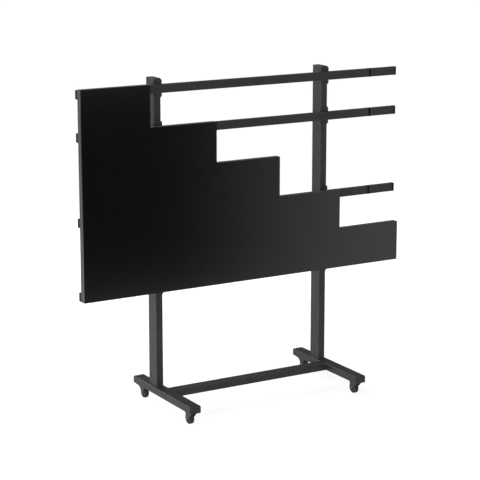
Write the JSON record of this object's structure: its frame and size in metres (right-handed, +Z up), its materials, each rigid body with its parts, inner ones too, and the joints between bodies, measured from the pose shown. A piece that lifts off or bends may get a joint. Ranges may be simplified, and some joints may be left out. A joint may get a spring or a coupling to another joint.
{
  "type": "video wall trolley",
  "caption": "Free-standing trolley: posts on castor feet carry horizontal rails with a stepped wall of LED display cabinets, left open for more cabinets.",
  "frame": {"origin": "on the floor, in the middle of the whole object's box", "axes": "+X to the right as the wall's viewer sees it, +Y away from that viewer, +Z up"},
  "size_m": [2.9998, 0.984, 2.7137],
  "materials": {
    "display": "satin black display face and cast frame",
    "coated_steel": "fine textured black powder coat",
    "castor_steel": "black coated pressed steel",
    "zinc_steel": "bright zinc plated",
    "tyre": "matt black rubber"
  },
  "bodies": {
    "root": {"cabinet_column1_row1": "display", "cabinet_column1_row2": "display", "cabinet_column1_row3": "display", "cabinet_column1_row4": "display", "cabinet_column1_row5": "display", "cabinet_column2_row1": "display", "cabinet_column2_row2": "display", "cabinet_column2_row3": "display", "cabinet_column2_row4": "display", "cabinet_column3_row1": "display", "cabinet_column3_row2": "display", "cabinet_column3_row3": "display", "cabinet_column4_row1": "display", "cabinet_column4_row2": "display", "cabinet_column5_row1": "display", "castor_plate_front_left": "coated_steel", "castor_plate_front_right": "coated_steel", "castor_plate_rear_left": "coated_steel", "castor_plate_rear_right": "coated_steel", "crossbar": "coated_steel", "foot_left": "coated_steel", "foot_right": "coated_steel", "plate_1_left": "coated_steel", "plate_1_right": "coated_steel", "plate_2_left": "coated_steel", "plate_2_right": "coated_steel", "plate_3_left": "coated_steel", "plate_3_right": "coated_steel", "plate_4_left": "coated_steel", "plate_4_right": "coated_steel", "post_left": "coated_steel", "post_right": "coated_steel", "rail_1_end_left": "coated_steel", "rail_1_end_right": "coated_steel", "rail_1_middle": "coated_steel", "rail_2_end_left": "coated_steel", "rail_2_end_right": "coated_steel", "rail_2_middle": "coated_steel", "rail_3_end_left": "coated_steel", "rail_3_end_right": "coated_steel", "rail_3_middle": "coated_steel", "rail_4_end_left": "coated_steel", "rail_4_end_right": "coated_steel", "rail_4_middle": "coated_steel"},
    "castor_front_left": {"castor_fork_front_left": "castor_steel", "castor_axle_front_left": "zinc_steel"},
    "wheel_front_left": {"castor_wheel_front_left": "tyre"},
    "pedal_front_left": {"brake_pedal_front_left": "castor_steel"},
    "castor_front_right": {"castor_fork_front_right": "castor_steel", "castor_axle_front_right": "zinc_steel"},
    "wheel_front_right": {"castor_wheel_front_right": "tyre"},
    "pedal_front_right": {"brake_pedal_front_right": "castor_steel"},
    "castor_rear_left": {"castor_fork_rear_left": "castor_steel", "castor_axle_rear_left": "zinc_steel"},
    "wheel_rear_left": {"castor_wheel_rear_left": "tyre"},
    "pedal_rear_left": {"brake_pedal_rear_left": "castor_steel"},
    "castor_rear_right": {"castor_fork_rear_right": "castor_steel", "castor_axle_rear_right": "zinc_steel"},
    "wheel_rear_right": {"castor_wheel_rear_right": "tyre"},
    "pedal_rear_right": {"brake_pedal_rear_right": "castor_steel"}
  },
  "joints": [
    {"name": "front_left_swivel", "type": "hinge", "parent": "root", "child": "castor_front_left", "pos_m": [-0.783, -0.4365, 0.10802], "axis": [0, 0, 1], "continuous": true},
    {"name": "front_left_wheel_spin", "type": "hinge", "parent": "castor_front_left", "child": "wheel_front_left", "pos_m": [-0.783, -0.3985, 0.04732], "axis": [1, 0, 0], "continuous": true},
    {"name": "front_left_brake_pedal", "type": "hinge", "parent": "castor_front_left", "child": "pedal_front_left", "pos_m": [-0.783, -0.36844, 0.09242], "axis": [-1, 0, 0], "range_deg": [0, 10]},
    {"name": "front_right_swivel", "type": "hinge", "parent": "root", "child": "castor_front_right", "pos_m": [0.797, -0.4365, 0.10802], "axis": [0, 0, 1], "continuous": true},
    {"name": "front_right_wheel_spin", "type": "hinge", "parent": "castor_front_right", "child": "wheel_front_right", "pos_m": [0.797, -0.3985, 0.04732], "axis": [1, 0, 0], "continuous": true},
    {"name": "front_right_brake_pedal", "type": "hinge", "parent": "castor_front_right", "child": "pedal_front_right", "pos_m": [0.797, -0.36844, 0.09242], "axis": [-1, 0, 0], "range_deg": [0, 10]},
    {"name": "rear_left_swivel", "type": "hinge", "parent": "root", "child": "castor_rear_left", "pos_m": [-0.783, 0.4205, 0.10802], "axis": [0, 0, 1], "continuous": true},
    {"name": "rear_left_wheel_spin", "type": "hinge", "parent": "castor_rear_left", "child": "wheel_rear_left", "pos_m": [-0.783, 0.3825, 0.04732], "axis": [1, 0, 0], "continuous": true},
    {"name": "rear_left_brake_pedal", "type": "hinge", "parent": "castor_rear_left", "child": "pedal_rear_left", "pos_m": [-0.783, 0.35244, 0.09242], "axis": [1, 0, 0], "range_deg": [0, 10]},
    {"name": "rear_right_swivel", "type": "hinge", "parent": "root", "child": "castor_rear_right", "pos_m": [0.797, 0.4205, 0.10802], "axis": [0, 0, 1], "continuous": true},
    {"name": "rear_right_wheel_spin", "type": "hinge", "parent": "castor_rear_right", "child": "wheel_rear_right", "pos_m": [0.797, 0.3825, 0.04732], "axis": [1, 0, 0], "continuous": true},
    {"name": "rear_right_brake_pedal", "type": "hinge", "parent": "castor_rear_right", "child": "pedal_rear_right", "pos_m": [0.797, 0.35244, 0.09242], "axis": [1, 0, 0], "range_deg": [0, 10]}
  ]
}
